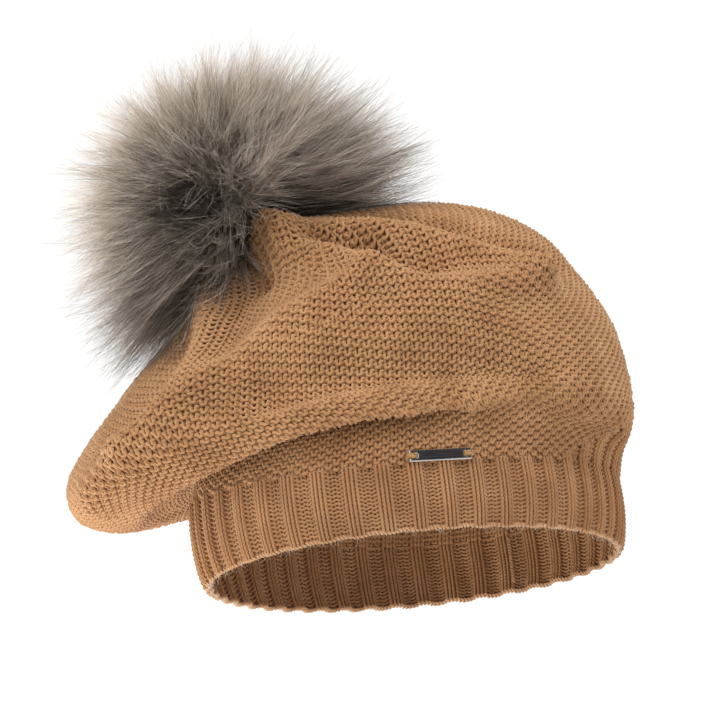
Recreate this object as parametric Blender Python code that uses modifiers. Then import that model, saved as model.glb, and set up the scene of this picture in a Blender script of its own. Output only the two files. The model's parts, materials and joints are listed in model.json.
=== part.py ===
"""A knitted beret with a snap-on faux-fur pom.

Metres, +Z up. The origin is the centre of the head opening, on the plane of the brim's lower edge.
-Y is the front, where the name plate is, and +X is the side away from the crown's slouch.
The crown hangs over to -X. The pom sits on a press stud whose axis leans the same way.
"""
import math

import bmesh
import bpy
import numpy as np
from mathutils import Matrix, Vector

MM = 0.001
GAP = 0.3 * MM                      # clearance between pieces that touch

# The head opening is an ellipse whose long axis is turned from front-back.
BRIM_SHORT = 80.0 * MM              # half widths of the brim's outer edge
BRIM_LONG = 100.0 * MM
BRIM_TURN = math.radians(25.0)
BAND_WALL = 3.0 * MM
CROWN_WALL = 2.2 * MM
BAND_SWELL = 1.2 * MM               # how far the ribs bulge half way up

# Rings of the crown, from its seam with the band up to the gathered point. Each is an ellipse:
# centre x, y, z, half short and long axis in mm, rise along x and along y, lift of front and back in mm.
CROWN_RINGS = (
    (0.0, 0.0, 28.5, 81.5, 101.0, -0.030, 0.00, -5.5),
    (2.0, 1.0, 39.0, 83.5, 99.0, -0.010, 0.00, 6.0),
    (-8.0, 3.0, 39.5, 100.0, 106.0, 0.090, 0.08, 17.0),
    (-16.5, 6.0, 45.5, 111.5, 112.0, 0.100, 0.08, 13.0),
    (-20.0, 9.0, 57.5, 114.5, 114.0, 0.120, 0.08, 6.0),
    (-20.5, 12.0, 73.0, 112.5, 111.0, 0.150, 0.08, 0.0),
    (-19.0, 14.0, 91.0, 103.0, 103.0, 0.195, 0.09, 0.0),
    (-17.0, 14.0, 110.0, 87.0, 88.0, 0.240, 0.11, 0.0),
    (-19.0, 12.0, 126.0, 66.0, 68.0, 0.290, 0.12, 0.0),
    (-28.0, 8.0, 136.0, 44.0, 46.0, 0.350, 0.10, 0.0),
    (-39.0, 1.0, 137.5, 23.0, 24.0, 0.400, 0.07, 0.0),
    (-45.0, -3.0, 135.5, 3.0, 3.0, 0.450, 0.05, 0.0),
)
RING_UNITS = np.array((MM, MM, MM, MM, MM, 1.0, 1.0, MM))

# Folds of the crown: side (-1 front, 1 back), height and half width in mm, then x, z along the fold.
CROWN_FOLDS = (
    (-1, 4.5, 9.0, ((-29, 128), (-10, 111), (8, 97), (26, 91), (50, 91))),
    (-1, 4.5, 8.0, ((-10, 127), (2, 126), (22, 121), (47, 107), (70, 100), (85, 90))),
    (-1, -5.0, 6.0, ((-24, 126), (-15, 120), (0, 113), (18, 105))),
    (-1, 5.0, 9.0, ((-10, 101), (-32, 87), (-53, 74), (-68, 61), (-82, 50), (-96, 42))),
    (-1, 3.5, 8.0, ((-60, 121), (-68, 104), (-71, 86), (-74, 70), (-85, 54))),
    (-1, -4.0, 10.0, ((-44, 118), (-50, 102), (-60, 84), (-70, 66))),
    (-1, -3.5, 12.0, ((30, 76), (8, 72), (-20, 64), (-46, 56))),
    (1, 4.0, 11.0, ((-60, 118), (-40, 104), (-22, 84), (-8, 62))),
    (1, 4.0, 12.0, ((-8, 134), (14, 118), (34, 96), (50, 70))),
    (1, -4.0, 10.0, ((-36, 126), (-12, 104), (8, 80))),
)
FOLD_SIDE_BLEND = 15.0 * MM         # folds fade out over this distance at the two sides
CROWN_STATIONS = 52                 # points around each ring of the crown
CROWN_LEVELS = 27                   # rings of the crown's mesh

# The press stud stands on the gathered point of the crown, square to its top.
SNAP_POINT = Vector((-45.0, -3.0, 135.5)) * MM
SNAP_AXIS = Vector((-0.47, -0.05, 0.88)).normalized()
POST_RADIUS = 1.1 * MM
STUD_FLANGE_RADIUS = 5.0 * MM
STUD_KNOB_RADIUS = 1.9 * MM
SNAP_RADIUS = 6.0 * MM
FELT_RADIUS = 7.5 * MM

POM_RADIUS = 68.0 * MM              # the fur's reach from the pom's middle
POM_MIDDLE = 9.0 * MM               # height of that middle above the crown
POM_UNDERSIDE_TOP = 4.6 * MM
POM_UNDERSIDE_DROP = 8.2 * MM       # the underside falls this far from its mouth to its rim
POM_MOUTH = 15.0 * MM               # radius of the hole under the fur cover
FILLING_RADIUS = 25.0 * MM
FILLING_MIDDLE = 35.5 * MM

PLATE_SIZE = Vector((25.2, 1.1, 4.6)) * MM
PLATE_X = 14.4 * MM
PLATE_LIFT = 2.0 * MM               # the plate's middle above the band's seam
NOTCH_DEPTH = 3.0 * MM
NOTCH_HEIGHT = 1.9 * MM

BEVEL_RESOLUTION = 2


def clear_scene():
    for found in list(bpy.data.objects):
        bpy.data.objects.remove(found)


def collection(name):
    made = bpy.data.collections.new(name)
    bpy.context.scene.collection.children.link(made)
    return made


def material(name, colour, roughness, metallic=0.0):
    made = bpy.data.materials.new(name)
    made.use_nodes = True
    shader = made.node_tree.nodes["Principled BSDF"]
    shader.inputs["Base Color"].default_value = (*colour, 1.0)
    shader.inputs["Roughness"].default_value = roughness
    shader.inputs["Metallic"].default_value = metallic
    return made


def add_object(name, data, finish, place=None):
    made = bpy.data.objects.new(name, data)
    BERET.objects.link(made)
    data.materials.append(finish)
    if place is not None:
        made.matrix_world = place
    return made


def mesh_from(name, points, faces):
    mesh = bpy.data.meshes.new(name)
    mesh.from_pydata([tuple(point) for point in points], [], faces)
    mesh.update()
    return mesh


def grid_faces(levels, stations, wrap_levels=False):
    """Quads between the rings of a loft, each ring closed, facing out when rings go up."""
    faces = []
    for low in range(levels if wrap_levels else levels - 1):
        high = (low + 1) % levels
        for here in range(stations):
            after = (here + 1) % stations
            faces.append((low * stations + here, low * stations + after,
                          high * stations + after, high * stations + here))
    return faces


# The crown's surface

def smooth_row(table, place):
    """Row of the table at a fractional place, on a Catmull-Rom curve through its rows."""
    last = len(table) - 1
    low = min(int(place), last - 1)
    part = place - low
    before = table[low - 1] if low > 0 else 2 * table[0] - table[1]
    after = table[low + 2] if low + 2 <= last else 2 * table[last] - table[last - 1]
    here, there = table[low], table[low + 1]
    return 0.5 * (2 * here + (there - before) * part
                  + (2 * before - 5 * here + 4 * there - after) * part ** 2
                  + (3 * here - before - 3 * there + after) * part ** 3)


def ellipse_offset(angle, short, long):
    across, along = short * math.cos(angle), long * math.sin(angle)
    return (across * math.cos(BRIM_TURN) + along * math.sin(BRIM_TURN),
            along * math.cos(BRIM_TURN) - across * math.sin(BRIM_TURN))


def ring_point(row, angle):
    centre_x, centre_y, centre_z, short, long, rise_x, rise_y, lift = row
    x, y = ellipse_offset(angle, short, long)
    return np.array((centre_x + x, centre_y + y,
                     centre_z + rise_x * x + rise_y * y + lift * (y / long) ** 2))


def fold_height(point):
    """How far the folds raise the surface at this point."""
    total = 0.0
    for side, height, width, route in CROWN_FOLDS:
        facing = np.clip(0.5 + 0.5 * side * point[1] / FOLD_SIDE_BLEND, 0.0, 1.0)
        spot = point[[0, 2]]
        nearest = None
        for start, end in zip(route, route[1:]):
            start, run = np.array(start) * MM, (np.array(end) - np.array(start)) * MM
            share = np.clip(np.dot(spot - start, run) / np.dot(run, run), 0.0, 1.0)
            away = np.linalg.norm(spot - start - share * run)
            nearest = away if nearest is None else min(nearest, away)
        total += facing * height * MM * math.exp(-(nearest / (width * MM)) ** 2)
    return total


def crown_rings():
    table = np.array(CROWN_RINGS) * RING_UNITS
    rows = [smooth_row(table, (len(table) - 1) * level / (CROWN_LEVELS - 1)) for level in range(CROWN_LEVELS)]
    angles = [2 * math.pi * station / CROWN_STATIONS for station in range(CROWN_STATIONS)]
    plain = np.array([[ring_point(row, angle) for angle in angles] for row in rows])
    around = np.roll(plain, -1, axis=1) - np.roll(plain, 1, axis=1)
    upwards = np.gradient(plain, axis=0)
    normals = np.cross(around, upwards)
    normals /= np.linalg.norm(normals, axis=2, keepdims=True)
    heights = np.apply_along_axis(fold_height, 2, plain)
    share = np.linspace(0.0, 1.0, CROWN_LEVELS)
    settled = np.clip(share * 8.0, 0.0, 1.0) * np.clip((1.0 - share) * 7.0, 0.0, 1.0)
    return plain + normals * heights[..., None] * settled[:, None, None], normals


def make_crown():
    """A closed wall: the outer rings up to the gathered point, then the inner ones back down."""
    outer, normals = crown_rings()
    normals[0, :, 2] = 0.0
    normals[0] /= np.linalg.norm(normals[0], axis=1, keepdims=True)
    inner = outer - normals * CROWN_WALL
    rings = np.concatenate([outer, inner[::-1]])
    rings[[0, -1], :, 2] += GAP
    faces = grid_faces(2 * CROWN_LEVELS, CROWN_STATIONS, wrap_levels=True)
    mesh = mesh_from("crown_shell", rings.reshape(-1, 3), faces)
    mesh.shade_smooth()
    return add_object("crown_shell", mesh, KNIT)


# The band and what is on it

def seam_ring():
    table = np.array(CROWN_RINGS) * RING_UNITS
    return [ring_point(table[0], 2 * math.pi * station / CROWN_STATIONS) for station in range(CROWN_STATIONS)]


def make_band():
    seam = seam_ring()
    levels = 5
    outer, inner = [], []
    for level in range(levels):
        share = level / (levels - 1)
        for station in range(CROWN_STATIONS):
            angle = 2 * math.pi * station / CROWN_STATIONS
            foot = np.array((*ellipse_offset(angle, BRIM_SHORT, BRIM_LONG), 0.0))
            place = foot + (seam[station] - foot) * share
            away = np.array((place[0], place[1], 0.0)) / np.linalg.norm(place[:2])
            outer.append(place + away * BAND_SWELL * math.sin(math.pi * share))
            inner.append(place - away * (BAND_WALL - BAND_SWELL * 0.5 * math.sin(math.pi * share)))
    points = outer + [inner[level * CROWN_STATIONS + station]
                      for level in reversed(range(levels)) for station in range(CROWN_STATIONS)]
    mesh = mesh_from("rib_band", points, grid_faces(2 * levels, CROWN_STATIONS, wrap_levels=True))
    mesh.shade_smooth()
    mesh.set_sharp_from_angle(angle=math.radians(50.0))
    return add_object("rib_band", mesh, RIB)


def curve_tube(name, points, radius, finish, closed=False, place=None):
    data = bpy.data.curves.new(name, "CURVE")
    data.dimensions = "3D"
    data.bevel_depth = radius
    data.bevel_resolution = BEVEL_RESOLUTION
    data.use_fill_caps = not closed
    spline = data.splines.new("POLY")
    spline.points.add(len(points) - 1)
    for target, point in zip(spline.points, points):
        target.co = (*point, 1.0)
    spline.use_cyclic_u = closed
    return add_object(name, data, finish, place)


def make_back_seam():
    """The joining seam: a cord of overlock stitches up the inside of the band at the back."""
    seam = seam_ring()[CROWN_STATIONS // 4]
    foot = np.array((*ellipse_offset(math.pi / 2, BRIM_SHORT, BRIM_LONG), 0.0))
    radius = 0.9 * MM
    inset = BAND_WALL + radius + GAP
    points = []
    for step in range(7):
        share = 0.08 + 0.84 * step / 6
        place = foot + (seam - foot) * share
        away = np.array((place[0], place[1], 0.0)) / np.linalg.norm(place[:2])
        points.append(place - away * inset)
    return curve_tube("back_seam_cord", points, radius, RIB)


def make_care_label():
    """A folded satin label, sewn in above the band at the back, with its stitch line."""
    size = Vector((24.0, 0.5, 16.0)) * MM
    back = Vector((*ellipse_offset(math.pi / 2, BRIM_SHORT, BRIM_LONG), 0.0))
    out = back.normalized()
    lean = Matrix.Rotation(math.atan2(out.y, out.x) - math.pi / 2, 4, "Z")
    middle = back - out * (BAND_WALL + 9.0 * MM) + Vector((0.0, 0.0, 47.0 * MM))
    bpy.ops.mesh.primitive_cube_add(size=1.0)
    label = bpy.context.object
    label.name = "care_label"
    label.data.transform(Matrix.Diagonal((*size, 1.0)))
    label.data.materials.append(LABEL)
    label.matrix_world = Matrix.Translation(middle) @ lean
    for group in list(label.users_collection):
        group.objects.unlink(label)
    BERET.objects.link(label)
    stitch = [Vector((x * MM, size.y / 2 + 0.5 * MM, size.z / 2 - 2.0 * MM)) for x in (-11.0, -4.0, 4.0, 11.0)]
    curve_tube("care_label_stitching", stitch, 0.25 * MM, THREAD, place=Matrix.Translation(middle) @ lean)
    return label


def plate_place():
    """The frame of the name plate: its x along the band, its y into the crown."""
    angles = [2 * math.pi * step / 720 for step in range(360, 720)]
    table = np.array(CROWN_RINGS) * RING_UNITS
    angle = min(angles, key=lambda a: abs(ring_point(table[0], a)[0] - PLATE_X))
    row = smooth_row(table, 0.22)
    step = math.radians(1.0)
    here = Vector(ring_point(row, angle))
    along = (Vector(ring_point(row, angle + step)) - Vector(ring_point(row, angle - step))).normalized()
    up = Vector((0.0, 0.0, 1.0))
    into = up.cross(along).normalized()
    up = along.cross(into)
    foot = Vector(ring_point(table[0], angle)) + up * PLATE_LIFT
    foot -= into * (here - foot).dot(-into)
    middle = foot - into * (PLATE_SIZE.y / 2 + 2.5 * GAP)
    frame = Matrix((along, into, up)).transposed().to_4x4()
    return Matrix.Translation(middle) @ frame


def make_plate():
    place = plate_place()
    bpy.ops.mesh.primitive_cube_add(size=1.0)
    plate = bpy.context.object
    plate.name = "name_plate"
    plate.data.transform(Matrix.Diagonal((*PLATE_SIZE, 1.0)))
    plate.data.materials.append(PLATE)
    plate.matrix_world = place
    for group in list(plate.users_collection):
        group.objects.unlink(plate)
    BERET.objects.link(plate)
    for side, word in ((-1, "left"), (1, "right")):
        cutter_mesh = bpy.data.meshes.new("notch_" + word)
        shape = bmesh.new()
        length = 2 * NOTCH_DEPTH
        bmesh.ops.create_cube(shape, size=1.0)
        bmesh.ops.scale(shape, vec=(length, 3 * PLATE_SIZE.y, NOTCH_HEIGHT), verts=shape.verts)
        bmesh.ops.translate(shape, vec=(side * PLATE_SIZE.x / 2, 0.0, 0.0), verts=shape.verts)
        shape.to_mesh(cutter_mesh)
        shape.free()
        cutter = bpy.data.objects.new("notch_" + word, cutter_mesh)
        HELPERS.objects.link(cutter)
        cutter.matrix_world = place
        cutter.hide_render = True
        cutter.display_type = "WIRE"
        cut = plate.modifiers.new("notch_" + word, "BOOLEAN")
        cut.object = cutter
        loop_points = []
        for step in range(9):
            turn = math.pi * step / 8
            loop_points.append(Vector((side * (PLATE_SIZE.x / 2 - NOTCH_DEPTH + 1.1 * MM + 3.0 * MM * step / 8),
                                       PLATE_SIZE.y / 2 - 0.1 * MM - 1.7 * MM * math.sin(turn), 0.0)))
        curve_tube("plate_stitch_" + word, loop_points, 0.5 * MM, THREAD, place=place)
    edge = plate.modifiers.new("edge", "BEVEL")
    edge.width = 0.25 * MM
    edge.segments = 2
    edge.limit_method = "ANGLE"
    return plate


# The press stud and the pom, turned about the snap's axis

def snap_place():
    turn = Vector((0.0, 0.0, 1.0)).rotation_difference(SNAP_AXIS)
    return Matrix.Translation(SNAP_POINT) @ turn.to_matrix().to_4x4()


def turned(name, outline, finish, steps=24, closed=True):
    """A closed body turned about the snap's axis from its outline of (radius, height)."""
    points = [(radius, 0.0, height) for radius, height in outline]
    mesh = bpy.data.meshes.new(name)
    edges = [(here, here + 1) for here in range(len(points) - 1)]
    if closed:
        edges.append((len(points) - 1, 0))
    mesh.from_pydata(points, edges, [])
    made = add_object(name, mesh, finish, snap_place())
    spin = made.modifiers.new("turn", "SCREW")
    spin.axis = "Z"
    spin.angle = 2 * math.pi
    spin.screw_offset = 0.0
    spin.steps = steps
    spin.render_steps = steps
    spin.use_merge_vertices = True
    spin.merge_threshold = 0.00001
    spin.use_smooth_shade = True
    return made


def in_mm(*outline):
    return [(radius * MM, height * MM) for radius, height in outline]


def ring_outline(radius, thickness, height, sides=8):
    """A round section, run clockwise so that its outer side goes down."""
    return [(radius + thickness * math.cos(-2 * math.pi * side / sides),
             height + thickness * math.sin(-2 * math.pi * side / sides)) for side in range(sides)]


def make_snap():
    post = POST_RADIUS / MM
    knob = STUD_KNOB_RADIUS / MM
    flange = STUD_FLANGE_RADIUS / MM
    rim = SNAP_RADIUS / MM
    felt = FELT_RADIUS / MM
    turned("crown_gather_thread", ring_outline(4.6 * MM, 0.45 * MM, -3.3 * MM), THREAD)
    turned("snap_backing_disc", in_mm((felt, -5.0), (felt, -6.1), (post + 0.5, -6.1), (post + 0.5, -5.0)), FELT)
    turned("snap_cap", in_mm((0.0, 2.2), (post, 2.2), (post, -6.4), (rim - 0.6, -6.4), (rim, -6.9),
                             (rim - 0.8, -7.6), (0.0, -7.9)), SNAP_METAL, closed=False)
    turned("snap_stud", in_mm((0.0, 4.4), (knob - 0.4, 4.3), (knob, 3.8), (knob - 0.2, 2.6), (knob - 0.1, 1.8),
                              (flange - 0.3, 1.5), (flange, 1.1), (flange, 0.6), (post + 0.3, 0.6),
                              (post + 0.3, 2.6), (0.0, 2.6)), SNAP_METAL, closed=False)
    turned("snap_socket", in_mm((1.3, 5.6), (rim - 1.4, 5.6), (rim - 0.3, 4.9), (rim, 4.2), (rim, 2.0),
                                (knob + 0.4, 2.0), (knob + 0.4, 4.8), (1.3, 4.8)), SNAP_METAL)
    turned("socket_rivet", in_mm((0.0, 9.0), (3.2, 8.9), (4.0, 8.3), (4.0, 8.0), (1.0, 8.0), (1.0, 5.0),
                                 (0.0, 5.0)), SNAP_METAL, closed=False)
    turned("pom_base_disc", in_mm((12.0, 7.6), (12.5, 7.2), (12.5, 6.4), (12.0, 6.0), (1.3, 6.0), (1.3, 7.6)),
           FELT)


def make_pom():
    rim_angle = math.asin((POM_UNDERSIDE_TOP - POM_UNDERSIDE_DROP - POM_MIDDLE) / POM_RADIUS)
    steps = 11
    outline = []
    for step in range(steps + 1):
        angle = math.pi / 2 + (rim_angle - math.pi / 2) * step / steps
        outline.append((POM_RADIUS * math.cos(angle), POM_MIDDLE + POM_RADIUS * math.sin(angle)))
    outline[0] = (0.0, POM_MIDDLE + POM_RADIUS)
    rim_radius = outline[-1][0]
    for step in range(1, 6):
        share = 1.0 - step / 5
        outline.append((POM_MOUTH + (rim_radius - POM_MOUTH) * share,
                        POM_UNDERSIDE_TOP - POM_UNDERSIDE_DROP * share ** 1.7))
    hollow = FILLING_RADIUS + 4 * GAP
    low = -math.asin(min(1.0, (FILLING_MIDDLE - 12.0 * MM) / hollow))
    outline.append((POM_MOUTH, 9.0 * MM))
    for step in range(9):
        angle = low + (math.pi / 2 - low) * step / 8
        outline.append((hollow * math.cos(angle), FILLING_MIDDLE + hollow * math.sin(angle)))
    outline[-1] = (0.0, FILLING_MIDDLE + hollow)
    turned("pom_fur_cover", outline, FUR, steps=36, closed=False)
    filling = [(FILLING_RADIUS * math.sin(math.pi * step / 12),
                FILLING_MIDDLE + FILLING_RADIUS * math.cos(math.pi * step / 12)) for step in range(13)]
    filling[0] = (0.0, filling[0][1])
    filling[-1] = (0.0, filling[-1][1])
    turned("pom_filling", filling, FILLING, closed=False)
    turned("pom_draw_thread", ring_outline(POM_MOUTH - 0.9 * MM, 0.5 * MM, 8.0 * MM), THREAD)


clear_scene()
BERET = collection("beret")
HELPERS = collection("helpers")
KNIT = material("camel_knit", (0.40, 0.21, 0.10), 0.9)
RIB = material("camel_rib", (0.36, 0.19, 0.09), 0.9)
THREAD = material("camel_thread", (0.48, 0.27, 0.11), 0.7)
PLATE = material("gunmetal_plate", (0.045, 0.043, 0.045), 0.32, 1.0)
SNAP_METAL = material("snap_metal", (0.55, 0.54, 0.52), 0.35, 1.0)
FELT = material("felt", (0.30, 0.17, 0.09), 0.95)
LABEL = material("label_satin", (0.80, 0.78, 0.74), 0.6)
FUR = material("taupe_fur", (0.24, 0.20, 0.165), 0.85)
FILLING = material("pom_filling", (0.85, 0.84, 0.80), 0.95)
make_crown()
make_band()
make_back_seam()
make_care_label()
make_plate()
make_snap()
make_pom()
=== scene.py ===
"""The looks of the knitted beret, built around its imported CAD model.

Every stitch of the crown and the band is a loop of real yarn laid on the surface of the CAD shell,
and the pom is made of single hairs. Metres, in the CAD's frame: +Z up, -Y to the front, the crown
slouches to -X.
"""

import json
import math

import bmesh
import bpy
import numpy as np
from mathutils import Matrix, Vector


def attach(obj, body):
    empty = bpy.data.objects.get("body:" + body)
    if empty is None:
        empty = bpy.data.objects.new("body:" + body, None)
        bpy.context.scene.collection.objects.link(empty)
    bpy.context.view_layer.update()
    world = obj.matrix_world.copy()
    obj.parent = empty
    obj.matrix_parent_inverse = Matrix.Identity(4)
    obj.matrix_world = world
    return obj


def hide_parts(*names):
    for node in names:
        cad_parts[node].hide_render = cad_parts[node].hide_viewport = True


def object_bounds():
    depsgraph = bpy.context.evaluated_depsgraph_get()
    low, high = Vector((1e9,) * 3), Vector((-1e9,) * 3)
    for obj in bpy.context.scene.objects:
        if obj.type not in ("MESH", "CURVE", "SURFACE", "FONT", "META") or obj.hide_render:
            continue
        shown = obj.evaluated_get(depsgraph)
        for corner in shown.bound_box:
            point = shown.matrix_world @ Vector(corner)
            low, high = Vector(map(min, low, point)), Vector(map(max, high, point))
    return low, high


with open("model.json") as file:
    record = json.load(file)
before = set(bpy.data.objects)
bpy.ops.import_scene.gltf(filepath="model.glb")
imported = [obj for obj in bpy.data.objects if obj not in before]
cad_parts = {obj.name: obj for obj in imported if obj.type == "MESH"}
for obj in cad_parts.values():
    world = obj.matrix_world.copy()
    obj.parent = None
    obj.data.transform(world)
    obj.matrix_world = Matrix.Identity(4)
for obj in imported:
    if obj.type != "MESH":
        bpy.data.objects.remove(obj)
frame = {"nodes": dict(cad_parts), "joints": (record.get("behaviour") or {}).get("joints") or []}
CAD_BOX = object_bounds()

MM = 0.001
FULL_TURN = 2 * math.pi
SEED = 20

# View, light and floor
VIEW_ELEVATION = math.radians(-12.0)
VIEW_ROLL = math.radians(7.4)
VIEW_DISTANCE = 1.8
VIEW_AIM = Vector((-11.2, -17.4, 82.0)) * MM
LENS = 225.9
FLOOR_DROP = 0.55
FLOOR_HALF = 6.0
SKY = 1.1
# Lights: name, place, size and power.
LIGHTS = (
    ("key", (0.0, -1.0, 1.2), 0.6, 9.0),
    ("low", (-0.3, -0.2, -0.55), 0.4, 2.0),
    ("lobe", (-0.24, 0.0, -0.09), 0.12, 0.35),
)

# The crown's surface: the same rings as the CAD shell. Each is an ellipse turned by BRIM_TURN:
# centre x, y, z, half short and long axis in mm, rise along x and along y, lift of front and back in mm.
BRIM_SHORT = 80.0 * MM
BRIM_LONG = 100.0 * MM
BRIM_TURN = math.radians(25.0)
BAND_SWELL = 1.2 * MM
BRIM_CURL = 1.0 * MM  # how far the brim curls in
CURL_FADE = 9.0  # and how soon above it the curl is gone
CROWN_RINGS = (
    (0.0, 0.0, 28.5, 81.5, 101.0, -0.030, 0.00, -5.5),
    (2.0, 1.0, 39.0, 83.5, 99.0, -0.010, 0.00, 6.0),
    (-8.0, 3.0, 39.5, 100.0, 106.0, 0.090, 0.08, 17.0),
    (-16.5, 6.0, 45.5, 111.5, 112.0, 0.100, 0.08, 13.0),
    (-20.0, 9.0, 57.5, 114.5, 114.0, 0.120, 0.08, 6.0),
    (-20.5, 12.0, 73.0, 112.5, 111.0, 0.150, 0.08, 0.0),
    (-19.0, 14.0, 91.0, 103.0, 103.0, 0.195, 0.09, 0.0),
    (-17.0, 14.0, 110.0, 87.0, 88.0, 0.240, 0.11, 0.0),
    (-19.0, 12.0, 126.0, 66.0, 68.0, 0.290, 0.12, 0.0),
    (-28.0, 8.0, 136.0, 44.0, 46.0, 0.350, 0.10, 0.0),
    (-39.0, 1.0, 137.5, 23.0, 24.0, 0.400, 0.07, 0.0),
    (-45.0, -3.0, 135.5, 3.0, 3.0, 0.450, 0.05, 0.0),
)
RING_UNITS = np.array((MM, MM, MM, MM, MM, 1.0, 1.0, MM))
GRID_LEVELS = 441
GRID_ANGLES = 720
HEIGHT_STEPS = 600
BAND_LEVELS = 60

# Folds: side (-1 front, 1 back, 0 both), height and half width in mm, sharpness, then x, z along the fold.
CROWN_FOLDS = (
    (-1, 7.5, 7.0, 1.4, ((-2, 99), (-22, 91), (-42, 80), (-66, 68), (-85, 53), (-100, 46), (-120, 39))),
    (-1, 7.5, 7.0, 1.4,
     ((-38, 132), (-27, 124), (-13, 112), (-2, 101), (12, 94), (30, 90), (47, 93), (62, 99))),
    (-1, 7.5, 6.5, 1.6, ((-16, 131), (0, 127), (17, 120), (38, 109), (62, 100))),
    (-1, -10.0, 5.0, 1.8, ((-25, 127), (-10, 122), (-2, 117))),
    (-1, -5.0, 6.0, 2.0, ((-2, 117), (8, 108), (20, 100))),
    (-1, -6.0, 6.0, 2.0, ((-13, 138), (8, 138), (39, 124), (70, 109))),
    (-1, 3.5, 13.0, 2.0, ((-32, 80), (-5, 84), (20, 81), (45, 78))),
    (-1, -6.5, 10.0, 2.0, ((-46, 55), (-20, 59), (13, 59), (33, 55), (52, 50))),
    (-1, 5.0, 9.0, 2.0, ((30, 42), (46, 44), (66, 44), (84, 42))),
    (-1, 8.0, 6.5, 1.4, ((-61, 125), (-65, 112), (-67, 94), (-75, 72), (-87, 57), (-104, 48))),
    (-1, -3.5, 8.0, 2.0, ((-52, 108), (-56, 91), (-63, 76))),
    (-1, -4.5, 9.0, 2.0, ((-80, 88), (-88, 68), (-98, 55))),
    (0, -5.0, 10.0, 2.0, ((-106, 66), (-117, 55))),
    (0, -4.0, 22.0, 2.0, ((10, 142), (45, 127), (70, 108))),
    (-1, 7.0, 6.5, 2.0, ((-41, 131), (-31, 131), (-35, 124))),
    (-1, -7.0, 5.0, 2.0, ((-52, 128), (-49, 121), (-46, 113))),
    (1, 5.0, 11.0, 2.0, ((-60, 118), (-40, 104), (-22, 84), (-8, 62))),
    (1, 4.0, 12.0, 2.0, ((-8, 134), (14, 118), (34, 96), (50, 70))),
    (1, -5.0, 10.0, 2.0, ((-36, 126), (-12, 104), (8, 80))),
)
FOLD_SIDE_BLEND = 15.0 * MM
FOLDS_IN = 8.0  # the folds fade in over the surface's first eighth
FOLDS_OUT = 7.0  # and out over its last seventh
BRIM_DROP = 1.6 * MM  # how far the soft edge hangs under the CAD brim
SETTLE = 1.1 * MM  # the yarn's own thickness, taken off the CAD surface

# The lip that hangs over the band: degrees round the crown, how far it sags in mm, how sharp its edge is.
LIP = ((190, 0.0, 0.0), (224, 0.3, 1.0), (235, 0.9, 1.0), (245, 2.1, 1.0), (255, 3.3, 1.0), (270, 3.9, 1.0),
       (284, 4.6, 1.0), (296, 5.6, 1.0), (302, 6.8, 0.8), (308, 6.8, 0.4), (314, 5.2, 0.1), (322, 3.2, 0.0),
       (332, 1.2, 0.0), (342, 0.0, 0.0))
LIP_RING = 2.0  # the edge's place in the ring table
LIP_RINGS = 0.75  # and how many rings to either side sag with it
LIP_HEIGHT = 2.0 * MM
LIP_WIDTH = 5.0 * MM
UNDERCUT = 3.5 * MM
UNDERCUT_BELOW = 11.0 * MM
UNDERCUT_WIDTH = 5.5 * MM

SOFT_PASSES_UP = 16  # rounding off: passes along the levels and round the crown
SOFT_PASSES_ROUND = 4

# Knitting
SECTORS = 8  # parts of the crown between lines of decreases
SECTOR_TURN = math.radians(24.0)  # where the first line stands
FIRST_SHARE = SECTOR_TURN / FULL_TURN
WALE = 3.8 * MM  # width of a stitch of the crown
RIB_WALE = 3.1 * MM
CROWN_COURSES = 118
SEAM_COURSES = 40  # courses that keep at least the band's number of wales
EVEN_COURSES = 15  # over which its even wales turn into sectors
BAND_COURSES = 17
RIB_RISE = 20  # how many courses further up the rib goes at the back
BACK_START = 0.25  # the rib starts to rise this far before the sides, as a sine
BACK_RANGE = 0.9  # and is up after this much more
RIB_REPEAT = 4  # two knit and two purl wales
YARN_RADIUS = 0.69 * MM
RIB_YARN_RADIUS = 0.50 * MM
YARN_SIDES = 5
YARN_STEPS = 12  # points along one stitch
# Where a stitch's foot, legs and head stand along its turn, in degrees.
LOOP_TURNS = np.array((0.0, 32.0, 90.0, 148.0, 180.0, 212.0, 270.0, 328.0, 360.0))
LOOP_BULGE = 0.16  # how far a loop's legs lean over its neighbours, in wales
RIB_LOOP = 1.2  # reach of a rib stitch, in courses to either side
CORE_DEPTH = 0.35 * MM  # the core, painted dark for the shade deep in the knit, lies this far behind the seed stitch's middle
CORE_WALL = 0.15 * MM
CORE_TOP = 0.999  # the core ends just under the surface's top
CROWN_CORE_LEVELS = 220
BAND_CORE_LEVELS = 16
CROWN_CORE_STEP = 0.5  # distance of the core's points, in wales
BAND_CORE_STEP = 0.25
CROWN_SIZE_SPREAD = 0.05  # how unlike each other the stitches are in height and in depth
CROWN_DEPTH_SPREAD = 0.12
BAND_SIZE_SPREAD = 0.04
BAND_DEPTH_SPREAD = 0.08
CROSSING = 0.50 * MM  # half of the depth between two crossing yarns
BRIM_CHAIN = 0.55 * MM  # half width of the cast-off edge
BRIM_STEPS = 8  # points of the edge's yarn to a wale
BRIM_SWAY = 0.15  # how far that yarn swings to its sides, in wales
BRIM_WAVE = 0.6  # the edge's share of the ribs' depth
RIB_DEPTH = 1.25 * MM  # how far the knit wales stand out and the purl wales lie back
RIB_SQUARE = 1.8  # how steeply they change over
COURSES_PER_PIECE = 8
PAINTED_SHADE_TOP = 46.0 * MM  # painted shade: the knit is painted darker below this height, for the shade on the upright band
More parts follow.
